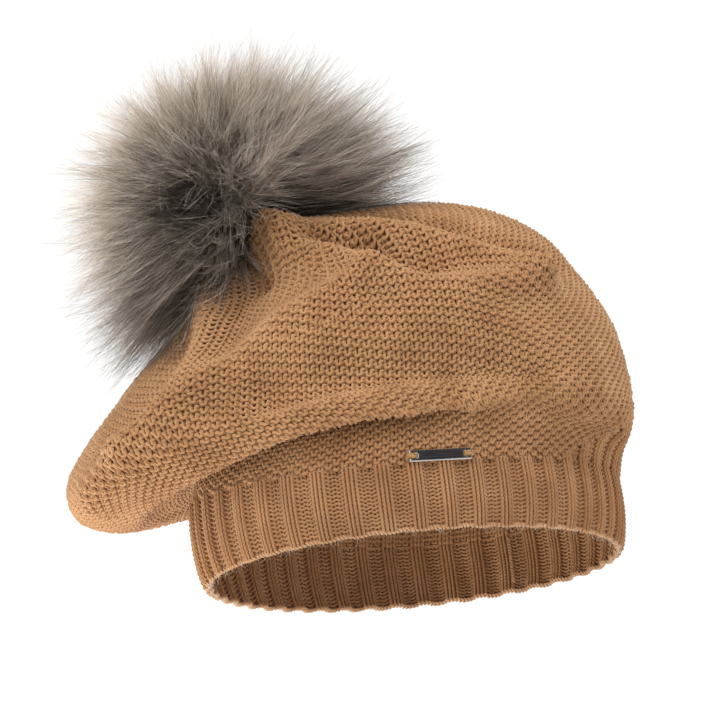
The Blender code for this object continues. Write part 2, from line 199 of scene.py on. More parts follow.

# Plate, its stitches, the seam, the label and the lint
NOTCH_DEPTH = 2.2 * MM
NOTCH_HEIGHT = 1.9 * MM
NOTCH_STEPS = 8
PLATE_BEVEL = 0.55 * MM
PLATE_BEVEL_DROP = 0.8 * PLATE_BEVEL
STITCH_STRANDS = 3
STITCH_RADIUS = 0.32 * MM
STITCH_STEPS = 32
STITCH_REACH = 1.9 * MM
STITCH_DEPTH = 0.75 * STITCH_REACH
STITCH_OUT = 1.1 * MM  # the stitch's middle stands this far outside the notch's round end
STITCH_BACK = 0.2 * MM
STITCH_STRAY = 0.15 * MM
SEAM_PLY = 0.5 * MM
SEAM_TWIST = 0.4 * MM  # the plies' middles keep this far from the seam's own middle
SEAM_TURNS = 8
SEAM_STEPS = 129
LABEL_COLUMNS = 25
LABEL_ROWS = 17
LABEL_SWAY = 0.8 * MM
LABEL_WAVES = 0.75
LINT = 900
LINT_STEPS = 6
LINT_RADIUS = 0.045 * MM
LINT_LENGTHS = (0.8 * MM, 3.0 * MM)
LINT_CURL = 0.9 * MM
LINT_STRAY = 0.7  # against how far the fibres lean down and in
LINT_DOWN = 0.7
LINT_IN = 0.5
LINT_TAPER = 0.7

# Pom
POM_RADIUS = 68.0 * MM
POM_MIDDLE = 9.0 * MM
BALL_RADIUS = 20.0 * MM
BALL_MIDDLE = 28.0 * MM
BALL_ROWS = 40
BALL_COLUMNS = 64
BALL_POLE = 0.02  # the small open rings at its poles, in radians, which are capped
POM_CENTRE = np.array((0.0, 0.0, POM_MIDDLE))
BALL_CENTRE = np.array((0.0, 0.0, BALL_MIDDLE))
HAIR_STEPS = 6
HAIR_SIDES = 3
HAIR_RADIUS = 0.11 * MM
HAIR_WAVE = 0.55 * MM
HAIR_WAVES = (4.0, 9.0)  # how many radians of wave a hair has
ROOT_DEPTH = 0.5 * MM  # the roots start this far inside the ball
ROOT_WIDTH = 2.6 * MM  # how far a tuft's roots stand apart
TUFT_WIDTHS = (0.35, 1.3)  # narrowest and widest tuft, to the coat's own width
TUFT_OPENING = 1.8  # how late along its length a tuft opens
TUFT_REACH = 0.085  # how unlike each other the tufts are in length
TUFT_SHORTEST = -1.6
TUFT_LONGEST = 1.8
TUFT_TONE = 0.22  # and in shade
ROOT_FAN = 1.22  # roots stand this much lower round the ball than the tips do
ROOT_LOWEST = math.radians(150.0)
BEND_OUT = 0.55  # share of the way that a tuft runs straight out of the ball
TOP_PAINTED_LIGHT = 0.50  # painted light: how much paler the tufts are at the top and darker at the bottom, as if lit from above
CLOUD_TONE = 0.1
HAIR_THICKNESS = (0.6, 1.25)
TIP_TAPER = 0.86  # how much thinner a hair is at its tip
HAIR_HELD = (0.85, 1.0)  # over-long hairs end at this share of the limit
TIP_STRAY = 6.5 * MM  # how far a tuft leans off its even place
HAIRS_PER_PIECE = 6500
HAIR_TONE = 0.30  # how far single hairs differ in shade
# Coats: name, tufts, first and last polar angle of the tips, hairs to a tuft, shortest and longest
# share of the way to the tip, shade, thickness, width of a tuft's tip in mm, and where along a hair's
# colours its root stands.
FUR_COATS = (
    ("fur_under", 900, 0, 100, 24, 0.45, 0.80, 0.12, 1.1, 5.5, 0.0),
    ("fur_guard", 2300, 0, 106, 12, 0.68, 1.16, 0.47, 0.9, 2.4, 0.05),
    ("fur_wisps", 1500, 0, 110, 6, 0.80, 1.34, 0.64, 0.8, 6.0, 0.25),
    ("fur_skirt", 800, 90, 118, 18, 0.55, 1.22, 0.50, 0.9, 2.4, 0.40),
)
FRONT = math.radians(294.0)  # where the crown's knob stands, as an azimuth about the snap
FRONT_REACH = math.radians(38.0)
FRONT_LIFT = math.radians(26.0)  # hairs are this much shorter in angle over the knob
# Dark patches: azimuth, tip angle and reach in degrees, and how dark.
DARK_TUFTS = ((0, 102, 10, 0.4), (215, 106, 17, 0.35), (252, 78, 17, 0.6), (282, 92, 14, -0.3))
HAIR_LIMIT = 94.0 * MM  # no hair stands further than this from the pom's middle
HAIR_LIMIT_UP = 83.5 * MM  # nor higher than this above it
RISE_REACH = 90.0 * MM  # how far round the snap the crown's height is known to the hairs
RISE_CELL = 1.5 * MM
SPIN_GAP = 2.8 * MM  # hairs that spin with the pom clear the crown's highest points by this
LIE_GAP = 1.6 * MM  # hairs that lie on the crown keep off it by a yarn's thickness

SNAP = next(joint for joint in frame["joints"] if joint["name"] == "pom_spin")
SNAP_POINT = Vector(SNAP["pos_m"])
SNAP_AXIS = Vector(SNAP["axis"]).normalized()
SNAP_PLACE = (Matrix.Translation(SNAP_POINT)
              @ Vector((0.0, 0.0, 1.0)).rotation_difference(SNAP_AXIS).to_matrix().to_4x4())
SNAP_TURN = np.array(SNAP_PLACE.to_3x3())


# Materials

def new_material(name):
    made = bpy.data.materials.new(name)
    made.use_nodes = True
    return made, made.node_tree, made.node_tree.nodes["Principled BSDF"]


def node(tree, kind, **settings):
    made = tree.nodes.new(kind)
    for key, value in settings.items():
        if key in made.inputs:
            made.inputs[key].default_value = value
        else:
            setattr(made, key, value)
    return made


def ramp(tree, source, *stops):
    """A colour ramp fed by source, with stops of (place, colour)."""
    made = tree.nodes.new("ShaderNodeValToRGB")
    elements = made.color_ramp.elements
    while len(elements) < len(stops):
        elements.new(0.5)
    for element, (place, colour) in zip(elements, stops):
        element.position = place
        element.color = (*colour, 1.0)
    tree.links.new(source, made.inputs["Fac"])
    return made.outputs["Color"]


def feed(tree, sockets, values):
    """Links each value that comes from a node to its socket, and sets the others."""
    for socket, value in zip(sockets, values):
        if isinstance(value, bpy.types.NodeSocket):
            tree.links.new(value, socket)
        else:
            socket.default_value = value


def mixed(tree, kind, share, first, second):
    made = node(tree, "ShaderNodeMix", data_type="RGBA", blend_type=kind)
    feed(tree, (made.inputs[0], made.inputs[6], made.inputs[7]), (share, first, second))
    return made.outputs[2]


def maths(tree, operation, first, second=0.0):
    made = node(tree, "ShaderNodeMath", operation=operation)
    feed(tree, made.inputs, (first, second))
    return made.outputs[0]


def noise(tree, scale, detail=3.0, roughness=0.55):
    made = node(tree, "ShaderNodeTexNoise", Scale=scale, Detail=detail, Roughness=roughness)
    place = tree.nodes.new("ShaderNodeTexCoord")
    tree.links.new(place.outputs["Object"], made.inputs["Vector"])
    return made.outputs["Fac"]


def bump(tree, shader, height, strength, distance):
    made = node(tree, "ShaderNodeBump", Strength=strength, Distance=distance)
    tree.links.new(height, made.inputs["Height"])
    tree.links.new(made.outputs["Normal"], shader.inputs["Normal"])


def attribute(tree, name):
    return node(tree, "ShaderNodeAttribute", attribute_name=name).outputs["Fac"]


def yarn_material(name, shade, mid, light, roughness=0.85):
    """Plied woollen yarn: fibres, a painted shadow between the plies, cloudy dye, and painted shade towards
    the brim.
    """
    made, tree, shader = new_material(name)
    place = node(tree, "ShaderNodeUVMap", uv_map="yarn")
    split = tree.nodes.new("ShaderNodeSeparateXYZ")
    tree.links.new(place.outputs["UV"], split.inputs["Vector"])
    twist = maths(tree, "ADD", split.outputs["X"], maths(tree, "MULTIPLY", split.outputs["Y"], 2.0))
    ply = maths(tree, "ABSOLUTE", maths(tree, "SINE", maths(tree, "MULTIPLY", twist, math.pi)))
    fibre = noise(tree, 2600.0, 2.0)
    cloud = noise(tree, 60.0)
    tone = maths(tree, "ADD", maths(tree, "MULTIPLY", cloud, 0.6), maths(tree, "MULTIPLY", fibre, 0.4))
    dye = ramp(tree, tone, (0.30, shade), (0.52, mid), (0.75, light))
    groove = ramp(tree, ply, (0.0, (0.62, 0.56, 0.50)), (0.45, (1.0, 1.0, 1.0)))
    world = node(tree, "ShaderNodeSeparateXYZ")
    tree.links.new(tree.nodes.new("ShaderNodeTexCoord").outputs["Object"], world.inputs["Vector"])
    # painted shade: the knit is darkened towards the brim, standing in for the shade on the upright band
    # under light from above
    height = maths(tree, "DIVIDE", world.outputs["Z"], PAINTED_SHADE_TOP)
    painted_shade = ramp(tree, height, (0.55, (0.86, 0.81, 0.78)), (1.0, (1.0, 1.0, 1.0)))
    colour = mixed(tree, "MULTIPLY", 1.0, mixed(tree, "MULTIPLY", 0.55, dye, groove), painted_shade)
    tree.links.new(colour, shader.inputs["Base Color"])
    bump(tree, shader, maths(tree, "ADD", ply, maths(tree, "MULTIPLY", fibre, 0.8)), 0.5, 0.15 * MM)
    shader.inputs["Roughness"].default_value = roughness
    shader.inputs["Specular IOR Level"].default_value = 0.25
    shader.inputs["Sheen Weight"].default_value = 0.25
    shader.inputs["Sheen Roughness"].default_value = 0.45
    shader.inputs["Sheen Tint"].default_value = (1.0, 0.86, 0.70, 1.0)
    return made


def core_painted_shade_material(name, dark, light):
    """The wall deep between the stitches, painted dark for the shade that falls there."""
    made, tree, shader = new_material(name)
    tree.links.new(ramp(tree, noise(tree, 900.0), (0.35, dark), (0.65, light)), shader.inputs["Base Color"])
    bump(tree, shader, noise(tree, 1800.0), 0.6, 0.2 * MM)
    shader.inputs["Roughness"].default_value = 1.0
    shader.inputs["Specular IOR Level"].default_value = 0.1
    return made


def fur_material():
    """Hair that is dark at the root, pale towards the tip and darker again at its end."""
    made, tree, shader = new_material("taupe_fur")
    along = attribute(tree, "along")
    shade = attribute(tree, "shade")
    length_colour = ramp(tree, along, (0.0, (0.030, 0.021, 0.015)), (0.30, (0.075, 0.056, 0.043)),
                         (0.55, (0.34, 0.285, 0.235)), (0.80, (0.66, 0.585, 0.51)),
                         (1.0, (0.46, 0.41, 0.365)))
    tone = ramp(tree, shade, (0.0, (0.14, 0.13, 0.12)), (0.5, (0.85, 0.84, 0.83)),
                (1.0, (1.60, 1.58, 1.55)))
    tree.links.new(mixed(tree, "MULTIPLY", 1.0, length_colour, tone), shader.inputs["Base Color"])
    shader.inputs["Roughness"].default_value = 0.45
    shader.inputs["Specular IOR Level"].default_value = 0.35
    return made


def metal_material(name, dark, light, roughness, stretch):
    """Metal with fine brushing along its length."""
    made, tree, shader = new_material(name)
    place = tree.nodes.new("ShaderNodeTexCoord")
    scaled = node(tree, "ShaderNodeMapping")
    scaled.inputs["Scale"].default_value = stretch
    tree.links.new(place.outputs["Object"], scaled.inputs["Vector"])
    brushed = node(tree, "ShaderNodeTexNoise", Scale=1.0, Detail=4.0, Roughness=0.6)
    tree.links.new(scaled.outputs["Vector"], brushed.inputs["Vector"])
    grain = brushed.outputs["Fac"]
    tree.links.new(ramp(tree, grain, (0.35, dark), (0.65, light)), shader.inputs["Base Color"])
    bump(tree, shader, grain, 0.25, 0.05 * MM)
    uneven = maths(tree, "ADD", maths(tree, "MULTIPLY", grain, 0.2), roughness)
    tree.links.new(uneven, shader.inputs["Roughness"])
    shader.inputs["Metallic"].default_value = 1.0
    return made


def cloth_material(name, dark, light, scale, roughness):
    made, tree, shader = new_material(name)
    weave = ramp(tree, noise(tree, scale, 5.0), (0.35, dark), (0.65, light))
    tree.links.new(weave, shader.inputs["Base Color"])
    bump(tree, shader, noise(tree, scale * 2.0), 0.5, 0.15 * MM)
    shader.inputs["Roughness"].default_value = roughness
    shader.inputs["Sheen Weight"].default_value = 0.2
    return made


# Meshes

def mesh_object(name, points, faces, finish, smooth=True):
    """An object from arrays of points and of quads or triangles."""
    mesh = bpy.data.meshes.new(name)
    sides = faces.shape[1]
    mesh.vertices.add(len(points))
    mesh.vertices.foreach_set("co", np.asarray(points, np.float32).ravel())
    mesh.loops.add(faces.size)
    mesh.loops.foreach_set("vertex_index", np.asarray(faces, np.int32).ravel())
    mesh.polygons.add(len(faces))
    mesh.polygons.foreach_set("loop_start", np.arange(0, faces.size, sides, dtype=np.int32))
    mesh.polygons.foreach_set("use_smooth", np.full(len(faces), smooth))
    mesh.update(calc_edges=True)
    mesh.materials.append(finish)
    made = bpy.data.objects.new(name, mesh)
    bpy.context.scene.collection.objects.link(made)
    return made


def belongs(piece, body, slot, *nodes):
    """The piece moves with the body and stands for the CAD nodes, which it hides; slot is not used."""
    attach(piece, body)
    if nodes:
        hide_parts(*nodes)


def unit(vectors):
    return vectors / np.maximum(np.linalg.norm(vectors, axis=-1, keepdims=True), 1e-12)


def tubes(paths, normals, radius, sides, closed):
    """Points and quads of round tubes along paths (tube, step, xyz), with a normal and radius each step."""
    if closed:
        along = unit(np.roll(paths, -1, axis=1) - np.roll(paths, 1, axis=1))
    else:
        along = unit(np.gradient(paths, axis=1))
    across = unit(np.cross(along, normals))
    upright = np.cross(across, along)
    turn = FULL_TURN * np.arange(sides) / sides
    radius = np.broadcast_to(radius, paths.shape[:2])[:, :, None, None]
    ring = np.cos(turn)[:, None] * across[:, :, None] + np.sin(turn)[:, None] * upright[:, :, None]
    points = paths[:, :, None] + radius * ring
    index = np.arange(points[..., 0].size).reshape(points.shape[:3])
    here = index if closed else index[:, :-1]
    there = np.roll(index, -1, axis=1) if closed else index[:, 1:]
    quads = np.stack([here, there, np.roll(there, -1, axis=2), np.roll(here, -1, axis=2)], -1)
    return points.reshape(-1, 3), quads.reshape(-1, 4)


def grid_quads(rows, columns, closed):
    """Quads of a grid of points, whose columns meet round the back if it is closed."""
    index = np.arange(rows * columns).reshape(rows, columns)
    right = np.roll(index, -1, axis=1)
    quads = np.stack([index[:-1], right[:-1], right[1:], index[1:]], -1)
    return (quads if closed else quads[:, :-1]).reshape(-1, 4)


def shell_object(name, outer, normals, wall, finish):
    """A closed thin wall behind a grid of points (level, station, xyz) that goes round."""
    levels, stations = outer.shape[:2]
    rings = np.concatenate([outer, (outer - normals * wall)[::-1]])
    index = np.arange(rings[..., 0].size).reshape(2 * levels, stations)
    above = np.roll(index, -1, axis=0)
    quads = np.stack([index, np.roll(index, -1, axis=1), np.roll(above, -1, axis=1), above], -1)
    return mesh_object(name, rings.reshape(-1, 3), quads.reshape(-1, 4), finish)


# The crown's and the band's surface, as grids that are sampled anywhere between their points

def smooth_rows(table, places):
    """Rows of the table at fractional places, on a Catmull-Rom curve through its rows."""
    padded = np.concatenate([2 * table[:1] - table[1:2], table, 2 * table[-1:] - table[-2:-1]])
    low = np.minimum(places.astype(int), len(table) - 2)
    part = (places - low)[:, None]
    before, here, there, after = (padded[low + step] for step in range(4))
    return 0.5 * (2 * here + (there - before) * part
                  + (2 * before - 5 * here + 4 * there - after) * part ** 2
                  + (3 * here - before - 3 * there + after) * part ** 3)


def ellipse(angle, short, long):
    across, along = short * np.cos(angle), long * np.sin(angle)
    return (across * math.cos(BRIM_TURN) + along * math.sin(BRIM_TURN),
            along * math.cos(BRIM_TURN) - across * math.sin(BRIM_TURN))


def ring_points(rows, angles):
    centre_x, centre_y, centre_z, short, long, rise_x, rise_y, lift = (rows[:, [k]] for k in range(8))
    x, y = ellipse(angles[None, :], short, long)
    z = centre_z + rise_x * x + rise_y * y + lift * (y / long) ** 2
    return np.stack([centre_x + x, centre_y + y, z], -1)


def grid_normals(points):
    around = np.roll(points, -1, axis=1) - np.roll(points, 1, axis=1)
    return unit(np.cross(around, np.gradient(points, axis=0)))


def route_distance(spots, route):
    """Distance of each (x, z) spot from a route of straight runs."""
    nearest = np.full(spots.shape[:-1], np.inf)
    for start, end in zip(route, route[1:]):
        start, run = np.array(start) * MM, (np.array(end) - np.array(start)) * MM
        share = np.clip(((spots - start) @ run) / (run @ run), 0.0, 1.0)
        away = np.linalg.norm(spots - start - share[..., None] * run, axis=-1)
        nearest = np.minimum(nearest, away)
    return nearest


def fold_heights(points):
    total = np.zeros(points.shape[:2])
    spots = points[..., (0, 2)]
    for side, height, width, sharpness, route in CROWN_FOLDS:
        facing = np.clip(0.5 + 0.5 * side * points[..., 1] / FOLD_SIDE_BLEND, 0.0, 1.0) if side else 1.0
        total += facing * height * MM * np.exp(-(route_distance(spots, route) / (width * MM)) ** sharpness)
    return total


def lip_at_angles():
    """The lip's sag and sharpness at each of the grid's angles."""
    degrees, sag, sharpness = np.array(LIP).T
    around = 360.0 * np.arange(GRID_ANGLES) / GRID_ANGLES
    return np.interp(around, degrees, sag) * MM, np.interp(around, degrees, sharpness)


def sagging(points):
    """The rings' points with the lip hanging down over the band."""
    ring = np.linspace(0.0, len(CROWN_RINGS) - 1.0, GRID_LEVELS)
    share = np.exp(-((ring - LIP_RING) / LIP_RINGS) ** 2) - math.exp(-(LIP_RING / LIP_RINGS) ** 2)
    points[..., 2] -= share[:, None] * lip_at_angles()[0][None, :]
    return points


def lip_heights(points):
    """The lip's sharp edge and the hollow under it."""
    steps = np.linalg.norm(np.diff(points, axis=0), axis=2)
    climb = np.concatenate([np.zeros((1, GRID_ANGLES)), np.cumsum(steps, axis=0)])
    edge = climb[int(LIP_RING * (GRID_LEVELS - 1) / (len(CROWN_RINGS) - 1))]
    above = climb - edge[None, :]
    return lip_at_angles()[1] * (LIP_HEIGHT * np.exp(-(above / LIP_WIDTH) ** 2)
                                 - UNDERCUT * np.exp(-((above + UNDERCUT_BELOW) / UNDERCUT_WIDTH) ** 2))


class Surface:
    """A surface given by a grid (level, angle), read between the grid's points.

    Heights on it are shares of the way from its foot to its top, measured along it at each angle.
    """

    def __init__(self, points, even):
        self.points = points
        self.normals = grid_normals(points)
        steps = np.linalg.norm(np.diff(even, axis=0), axis=2)
        climb = np.concatenate([np.zeros((1, steps.shape[1])), np.cumsum(steps, axis=0)])
        self.climb = float(climb[-1].mean())
        around = np.linalg.norm(np.roll(even, -1, axis=1) - even, axis=2)
        self.around = np.concatenate([np.zeros((len(even), 1)), np.cumsum(around, axis=1)], axis=1)
        levels = np.arange(len(even))
        shares = np.linspace(0.0, 1.0, HEIGHT_STEPS + 1)
        self.level_of = np.stack([np.interp(shares, column / column[-1], levels) for column in climb.T], -1)

    def mean_level(self, share):
        return float(np.interp(share * HEIGHT_STEPS, np.arange(HEIGHT_STEPS + 1), self.level_of.mean(axis=1)))

    def girth(self, level):
        return np.interp(level, np.arange(len(self.around)), self.around[:, -1])

    def station_at(self, level, share):
        """The grid's angle index at a share of the way round, measured along the ring of that level."""
        row = self.around[int(round(min(max(level, 0.0), len(self.around) - 1.0)))]
        turns = np.floor(share)
        return np.interp((share - turns) * row[-1], row, np.arange(len(row))) + turns * (len(row) - 1)

    def read(self, grids, level, station):
        """Each grid's value at fractional places."""
        last = len(grids[0]) - 1.001
        level = np.clip(level, 0.0, last)
        low = level.astype(int)
        left = np.floor(station).astype(int)
        part, side = level - low, station - left
        count = grids[0].shape[1]
        left, right = left % count, (left + 1) % count
        found = []
        for grid in grids:
            share, across = (part[..., None], side[..., None]) if grid.ndim == 3 else (part, side)
            lower = grid[low, left] * (1 - across) + grid[low, right] * across
            upper = grid[low + 1, left] * (1 - across) + grid[low + 1, right] * across
            found.append(lower * (1 - share) + upper * share)
        return found

    def sample(self, share, station):
        """Points and normals at shares of the height and angle indices."""
        level = self.read([self.level_of], share * HEIGHT_STEPS, station)[0]
        point, normal = self.read([self.points, self.normals], level, station)
        return point, unit(normal)


def softened(points):
    """The points with creases too sharp for knitting rounded off."""
    for _ in range(SOFT_PASSES_UP):
        inner = (points[:-2] + 2 * points[1:-1] + points[2:]) / 4
        points = np.concatenate([points[:1], inner, points[-1:]])
    for _ in range(SOFT_PASSES_ROUND):
        points = (np.roll(points, 1, axis=1) + 2 * points + np.roll(points, -1, axis=1)) / 4
    return points


def crown_surface():
    table = np.array(CROWN_RINGS) * RING_UNITS
    rows = smooth_rows(table, np.linspace(0, len(table) - 1, GRID_LEVELS))
    angles = FULL_TURN * np.arange(GRID_ANGLES) / GRID_ANGLES
    plain = sagging(ring_points(rows, angles))
    share = np.linspace(0.0, 1.0, GRID_LEVELS)
    settled = np.clip(share * FOLDS_IN, 0.0, 1.0) * np.clip((1.0 - share) * FOLDS_OUT, 0.0, 1.0)
    heights = (fold_heights(plain) + lip_heights(plain)) * settled[:, None] - SETTLE
    folded = softened(plain + grid_normals(plain) * heights[..., None])
    return Surface(folded, plain)


def band_surface():
    """From the brim up to the seam, curling in a little at the brim."""
    angles = FULL_TURN * np.arange(GRID_ANGLES) / GRID_ANGLES
    seam = ring_points((np.array(CROWN_RINGS) * RING_UNITS)[:1], angles)[0]
    x, y = ellipse(angles, BRIM_SHORT, BRIM_LONG)
    foot = np.stack([x, y, np.full_like(x, -BRIM_DROP)], -1)
    share = np.linspace(0.0, 1.0, BAND_LEVELS)[:, None, None]
    out = unit(np.stack([x, y, np.zeros_like(x)], -1))
    swell = BAND_SWELL * np.sin(math.pi * share) - BRIM_CURL * np.exp(-share * CURL_FADE)
    middle = foot * (1 - share) + seam * share + out * (swell - SETTLE)
    return Surface(middle, middle)


# Knitting

def loop_shape():
    """One stitch of yarn: places along the wale's width and height, and its turn in degrees."""
    turn = FULL_TURN * np.arange(YARN_STEPS) / YARN_STEPS
    x = turn / FULL_TURN + LOOP_BULGE * np.sin(2 * turn)
    return x, np.cos(turn), np.degrees(turn)


def loop_depths(signs, before, after):
    """Depth of the yarn along each stitch of a course (+1 knit, -1 purl), so that crossings don't meet.

    before and after are the signs of the courses that it was drawn through and that is drawn through it.
    """
    legs = CROSSING * (before + 2 * signs + after) / 4
    legs_before = CROSSING * (3 * before + signs) / 4
    legs_after = CROSSING * (3 * after + signs) / 4
    head = legs_after - 2 * CROSSING * after
    foot = legs_before - 2 * CROSSING * signs
    foot_left = 0.5 * (foot + np.roll(foot, 1))
    foot_right = 0.5 * (foot + np.roll(foot, -1))
    values = np.stack([foot_left, foot, legs, head, head, head, legs, foot, foot_right], -1)
    turns = loop_shape()[2]
    low = np.clip(np.searchsorted(LOOP_TURNS, turns, side="right") - 1, 0, len(LOOP_TURNS) - 2)
    part = (turns - LOOP_TURNS[low]) / (LOOP_TURNS[low + 1] - LOOP_TURNS[low])
    part = part * part * (3 - 2 * part)
    return values[:, low] * (1 - part) + values[:, low + 1] * part


def rib_sign(wale):
    return np.where(wale % RIB_REPEAT < RIB_REPEAT // 2, 1, -1)


def rib_rise(angle):
    """How many courses of the crown are still rib: none in front, and RIB_RISE at the back."""
    return RIB_RISE * np.clip((np.sin(angle) + BACK_START) / BACK_RANGE, 0.0, 1.0)


def crown_signs(sector, column, course):
    """+1 for knit and -1 for purl: the rib at the back of the head, seed stitch elsewhere."""
    angle = SECTOR_TURN + FULL_TURN * (sector + 0.5 + column / (2 * BAND_HALF + 1)) / SECTORS
    in_rib = course < rib_rise(angle)
    wale = sector * (2 * BAND_HALF + 1) + column + BAND_HALF
    return np.where(in_rib, rib_sign(wale), 1 - 2 * ((column + course + sector) % 2)), in_rib


def crown_columns(level, course, surface):
    """Shares of the way round of one crown course's stitch points, and where each stitch stands."""
    x = loop_shape()[0]
    width = surface.girth(level) / SECTORS
    half = max(0, int(round(width / (2 * WALE) - 0.5)))
    if course < SEAM_COURSES:
        half = max(half, BAND_HALF)
    column = np.arange(-half, half + 1)
    place = column[:, None] - 0.5 + x[None, :]
    reach = half + 0.5
    stretch = width / (2 * reach * WALE)
    even = min(1.0, max(0.0, (SEAM_COURSES - course) / EVEN_COURSES))
    across = place * WALE * (stretch * even + (1 - even) * (1 + (stretch - 1) * np.abs(place / reach) ** 3))
    sector = np.repeat(np.arange(SECTORS), len(column))
    shares = (sector[:, None] + 0.5 + np.tile(across, (SECTORS, 1)) / width) / SECTORS
    return shares, sector, np.tile(column, SECTORS)


def yarn_ring(surface, climbed, station, depth):
    """Points and normals of a closed yarn at depths off the surface."""
    point, normal = surface.sample(climbed, station)
    return (point + normal * depth[..., None]).reshape(1, -1, 3), normal.reshape(1, -1, 3)


def crown_yarn(surface, rng):
    """The yarn of each crown course: lists of points and normals, one course to an entry."""
    x, height, _ = loop_shape()
    found = []
    for course in range(CROWN_COURSES):
        level = surface.mean_level((course + 0.5) / CROWN_COURSES)
        shares, sector, column = crown_columns(level, course, surface)
        station = surface.station_at(level, shares + FIRST_SHARE)
        signs, in_rib = crown_signs(sector, column, course)
        size = 1.0 + CROWN_SIZE_SPREAD * rng.standard_normal((len(signs), 1))
        climbed = (course + 0.5 + height[None, :] * size) / CROWN_COURSES
        depth = loop_depths(signs, crown_signs(sector, column, course - 1)[0],
                            crown_signs(sector, column, course + 1)[0])
        depth = depth * (1.0 + CROWN_DEPTH_SPREAD * rng.standard_normal((len(signs), 1)))
        wale = sector * (2 * BAND_HALF + 1) + column + BAND_HALF
        depth = depth + in_rib[:, None] * RIB_DEPTH * rib_wave(wale[:, None] + x[None, :])
        found.append(yarn_ring(surface, climbed, station, depth))
    return found


def rib_wave(place):
    """+1 in the middle of the knit wales, -1 in the middle of the purl wales."""
    wave = np.sin(FULL_TURN * place / RIB_REPEAT)
    return np.tanh(RIB_SQUARE * wave) / math.tanh(RIB_SQUARE)


def band_yarn(surface, rng):
    x, height, _ = loop_shape()
    wale = np.arange(BAND_WALES)
    signs = rib_sign(wale)
    place = wale[:, None] + x[None, :]
    found = []
    for course in range(BAND_COURSES):
        level = surface.mean_level((course + 0.5) / BAND_COURSES)
        station = surface.station_at(level, place / BAND_WALES + FIRST_SHARE)
        size = RIB_LOOP + BAND_SIZE_SPREAD * rng.standard_normal((BAND_WALES, 1))
        climbed = (course + 0.5 + height[None, :] * size) / BAND_COURSES
        uneven = 1.0 + BAND_DEPTH_SPREAD * rng.standard_normal((BAND_WALES, 1))
        depth = loop_depths(signs, signs, signs) * uneven
        depth = depth + RIB_DEPTH * rib_wave(place)
        found.append(yarn_ring(surface, climbed, station, depth))
    return found


def brim_yarn(surface):
    """The cast-off edge: two yarns twisted round each other along the brim."""
    place = np.arange(0.0, BAND_WALES, 1.0 / BRIM_STEPS)
    found = []
    for turn in (0.0, math.pi):
        twist = FULL_TURN * place + turn
        share = (place + BRIM_SWAY * np.sin(twist)) / BAND_WALES
        station = surface.station_at(0.0, share + FIRST_SHARE)
        point, normal = surface.sample(np.zeros_like(station), station)
        depth = BRIM_CHAIN * np.sin(twist) + BRIM_WAVE * RIB_DEPTH * rib_wave(place)
        rise = BRIM_CHAIN * np.cos(twist)
        path = point + normal * depth[:, None] + np.array((0.0, 0.0, 1.0)) * rise[:, None]
        found.append((path.reshape(1, -1, 3), normal.reshape(1, -1, 3)))
    return found


def knit_pieces(name, courses, radius, finish, slot):
    """Pieces of a few courses each. A course is one closed ring of yarn."""
    for first in range(0, len(courses), COURSES_PER_PIECE):
        points, quads, corners, start = [], [], [], 0
        for path, normal in courses[first:first + COURSES_PER_PIECE]:
            course_points, course_quads = tubes(path, normal, radius, YARN_SIDES, closed=True)
            points.append(course_points)
            quads.append(course_quads + start)
            start += len(course_points)
            corners.append(path.shape[1])
        piece = mesh_object(f"{name}_{first // COURSES_PER_PIECE + 1:02d}",
                            np.concatenate(points), np.concatenate(quads), finish)
        uv = [yarn_corners(steps) for steps in corners]
        piece.data.uv_layers.new(name="yarn").data.foreach_set("uv", np.concatenate(uv).ravel())
        belongs(piece, "hat", slot)


def yarn_corners(steps, turns_per_step=0.45):
    """The 'yarn' coordinates of a closed tube's corners: x counts the plies' turns, y goes once round."""
    x = np.arange(steps) * turns_per_step
    y = np.arange(YARN_SIDES) / YARN_SIDES
    corner = np.zeros((steps, YARN_SIDES, 4, 2), np.float32)
    corner[..., (0, 3), 0] = x[:, None, None]
    corner[..., (1, 2), 0] = x[:, None, None] + turns_per_step
    corner[..., (0, 1), 1] = y[None, :, None]
    corner[..., (2, 3), 1] = y[None, :, None] + 1.0 / YARN_SIDES
    return corner.reshape(-1, 2)


def make_core(name, surface, levels, step, wave, slot, node_name):
    """The thin wall between the stitches, painted dark for the shade there. wave gives the ribs' depth at a
    share and place.
    """
    places = np.arange(0.0, BAND_WALES, step)
    rows = []
    for share in np.linspace(0.0, CORE_TOP, levels):
        station = surface.station_at(surface.mean_level(share), places / BAND_WALES + FIRST_SHARE)
        point, normal = surface.sample(np.full_like(station, share), station)
        rows.append((point + normal * wave(share, places)[:, None], normal))
    points, normals = (np.stack(grids) for grids in zip(*rows))
    core = shell_object(name, points, normals, CORE_WALL, CORE_PAINTED_SHADE)
    belongs(core, "hat", slot, node_name)
    return core


def crown_wave(share, places):
    """The rib's depth where it runs up the back of the crown, and the core's place behind the seed stitch."""
    angle = SECTOR_TURN + FULL_TURN * places / BAND_WALES
    in_rib = np.clip(rib_rise(angle) - share * CROWN_COURSES, 0.0, 1.0)
    return in_rib * RIB_DEPTH * rib_wave(places) - (1.0 - in_rib) * CORE_DEPTH


def make_crown(rng):
    knit_pieces("crown_knit", crown_yarn(CROWN, rng), YARN_RADIUS, CAMEL, "knit")
    core = make_core("crown_knit_core", CROWN, CROWN_CORE_LEVELS, CROWN_CORE_STEP, crown_wave,
                     "knit", "crown_shell")


